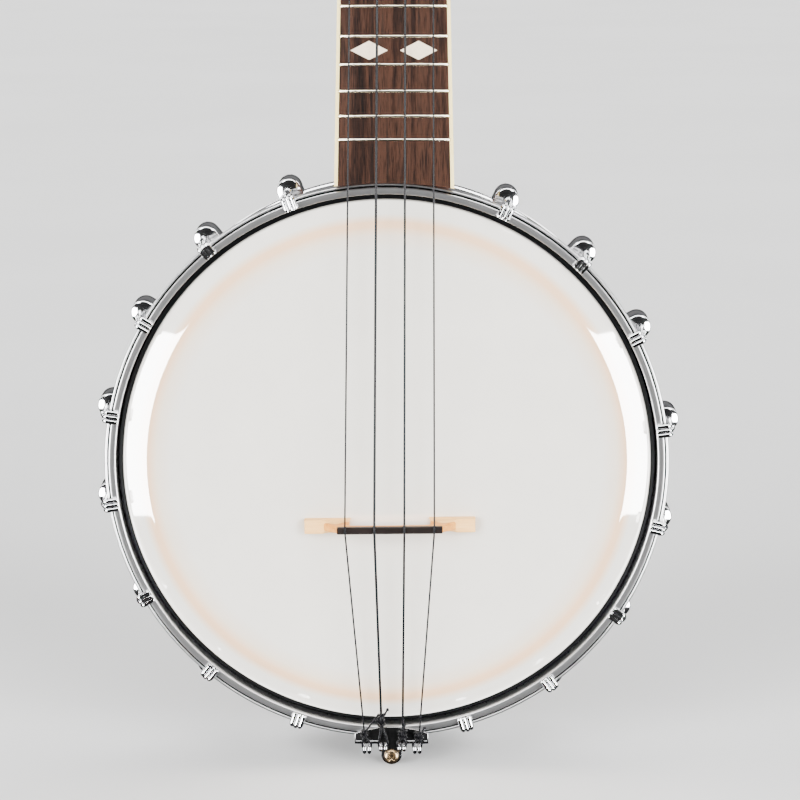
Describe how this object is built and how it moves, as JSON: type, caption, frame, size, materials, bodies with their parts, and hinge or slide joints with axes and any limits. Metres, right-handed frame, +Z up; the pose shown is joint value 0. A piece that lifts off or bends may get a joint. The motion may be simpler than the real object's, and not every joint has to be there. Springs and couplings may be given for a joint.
{
  "type": "banjo ukulele",
  "caption": "Open-backed banjo ukulele: metal-clad wooden pot, drumhead pulled tight by a hoop with hooks and nuts, bound fretted neck, tailpiece and geared tuners.",
  "frame": {"origin": "bottom centre of the bounding box, at the tail end of the instrument", "axes": "+Z up along the neck from the tail to the headstock, -Y the way the drumhead and strings face, +X to the right as seen from the front"},
  "size_m": [0.222, 0.0722, 0.5491],
  "materials": {
    "rim_maple": "satin varnish",
    "chrome": "polished plate",
    "steel": "plated",
    "head_film": "frosted translucent film",
    "bridge_maple": "bare satin",
    "string_nylon": "smooth black nylon",
    "neck_mahogany": "satin lacquer",
    "board_rosewood": "oiled",
    "nut_bone": "polished bone",
    "button_pearl": "pearloid"
  },
  "bodies": {
    "instrument": {"rim_shell": "rim_maple", "rim_cladding": "chrome", "drumhead": "head_film", "tension_hoop": "chrome", "coordinator_rod": "steel", "tension_hook_01": "chrome", "hook_shoe_01": "chrome", "tension_hook_02": "chrome", "hook_shoe_02": "chrome", "tension_hook_03": "chrome", "hook_shoe_03": "chrome", "tension_hook_04": "chrome", "hook_shoe_04": "chrome", "tension_hook_05": "chrome", "hook_shoe_05": "chrome", "tension_hook_06": "chrome", "hook_shoe_06": "chrome", "tension_hook_07": "chrome", "hook_shoe_07": "chrome", "tension_hook_08": "chrome", "hook_shoe_08": "chrome", "tension_hook_09": "chrome", "hook_shoe_09": "chrome", "tension_hook_10": "chrome", "hook_shoe_10": "chrome", "tension_hook_11": "chrome", "hook_shoe_11": "chrome", "tension_hook_12": "chrome", "hook_shoe_12": "chrome", "tension_hook_13": "chrome", "hook_shoe_13": "chrome", "tension_hook_14": "chrome", "hook_shoe_14": "chrome", "tension_hook_15": "chrome", "hook_shoe_15": "chrome", "tension_hook_16": "chrome", "hook_shoe_16": "chrome", "bridge": "bridge_maple", "tailpiece_plate": "chrome", "tailpiece_screw": "chrome", "tailpiece_bracket": "chrome", "string_g": "string_nylon", "string_c": "string_nylon", "string_e": "string_nylon", "string_a": "string_nylon", "neck": "neck_mahogany", "fingerboard": "board_rosewood", "nut": "nut_bone", "tuner_plate_g": "chrome", "tuner_plate_c": "chrome", "tuner_plate_e": "chrome", "tuner_plate_a": "chrome"},
    "button_g": {"tuner_button_g": "button_pearl"},
    "post_g": {"string_post_g": "chrome"},
    "button_c": {"tuner_button_c": "button_pearl"},
    "post_c": {"string_post_c": "chrome"},
    "button_e": {"tuner_button_e": "button_pearl"},
    "post_e": {"string_post_e": "chrome"},
    "button_a": {"tuner_button_a": "button_pearl"},
    "post_a": {"string_post_a": "chrome"}
  },
  "joints": [
    {"name": "button_turn_g", "type": "hinge", "parent": "instrument", "child": "button_g", "pos_m": [-0.01159, -0.00006, 0.46365], "axis": [1, 0, 0], "continuous": true},
    {"name": "post_turn_g", "type": "hinge", "parent": "instrument", "child": "post_g", "pos_m": [-0.01159, -0.01712, 0.47474], "axis": [0, -0.9781, 0.2079], "continuous": true},
    {"name": "button_turn_c", "type": "hinge", "parent": "instrument", "child": "button_c", "pos_m": [-0.01159, 0.00743, 0.49887], "axis": [1, 0, 0], "continuous": true},
    {"name": "post_turn_c", "type": "hinge", "parent": "instrument", "child": "post_c", "pos_m": [-0.01159, -0.00964, 0.50996], "axis": [0, -0.9781, 0.2079], "continuous": true},
    {"name": "button_turn_e", "type": "hinge", "parent": "instrument", "child": "button_e", "pos_m": [0.01741, 0.00743, 0.49887], "axis": [1, 0, 0], "continuous": true},
    {"name": "post_turn_e", "type": "hinge", "parent": "instrument", "child": "post_e", "pos_m": [0.01741, -0.00964, 0.50996], "axis": [0, -0.9781, 0.2079], "continuous": true},
    {"name": "button_turn_a", "type": "hinge", "parent": "instrument", "child": "button_a", "pos_m": [0.01741, -0.00006, 0.46365], "axis": [1, 0, 0], "continuous": true},
    {"name": "post_turn_a", "type": "hinge", "parent": "instrument", "child": "post_a", "pos_m": [0.01741, -0.01712, 0.47474], "axis": [0, -0.9781, 0.2079], "continuous": true}
  ],
  "couplings": [
    {"joint": "post_turn_g", "follows": "button_turn_g", "ratio": -0.071429},
    {"joint": "post_turn_c", "follows": "button_turn_c", "ratio": -0.071429},
    {"joint": "post_turn_e", "follows": "button_turn_e", "ratio": -0.071429},
    {"joint": "post_turn_a", "follows": "button_turn_a", "ratio": -0.071429}
  ]
}
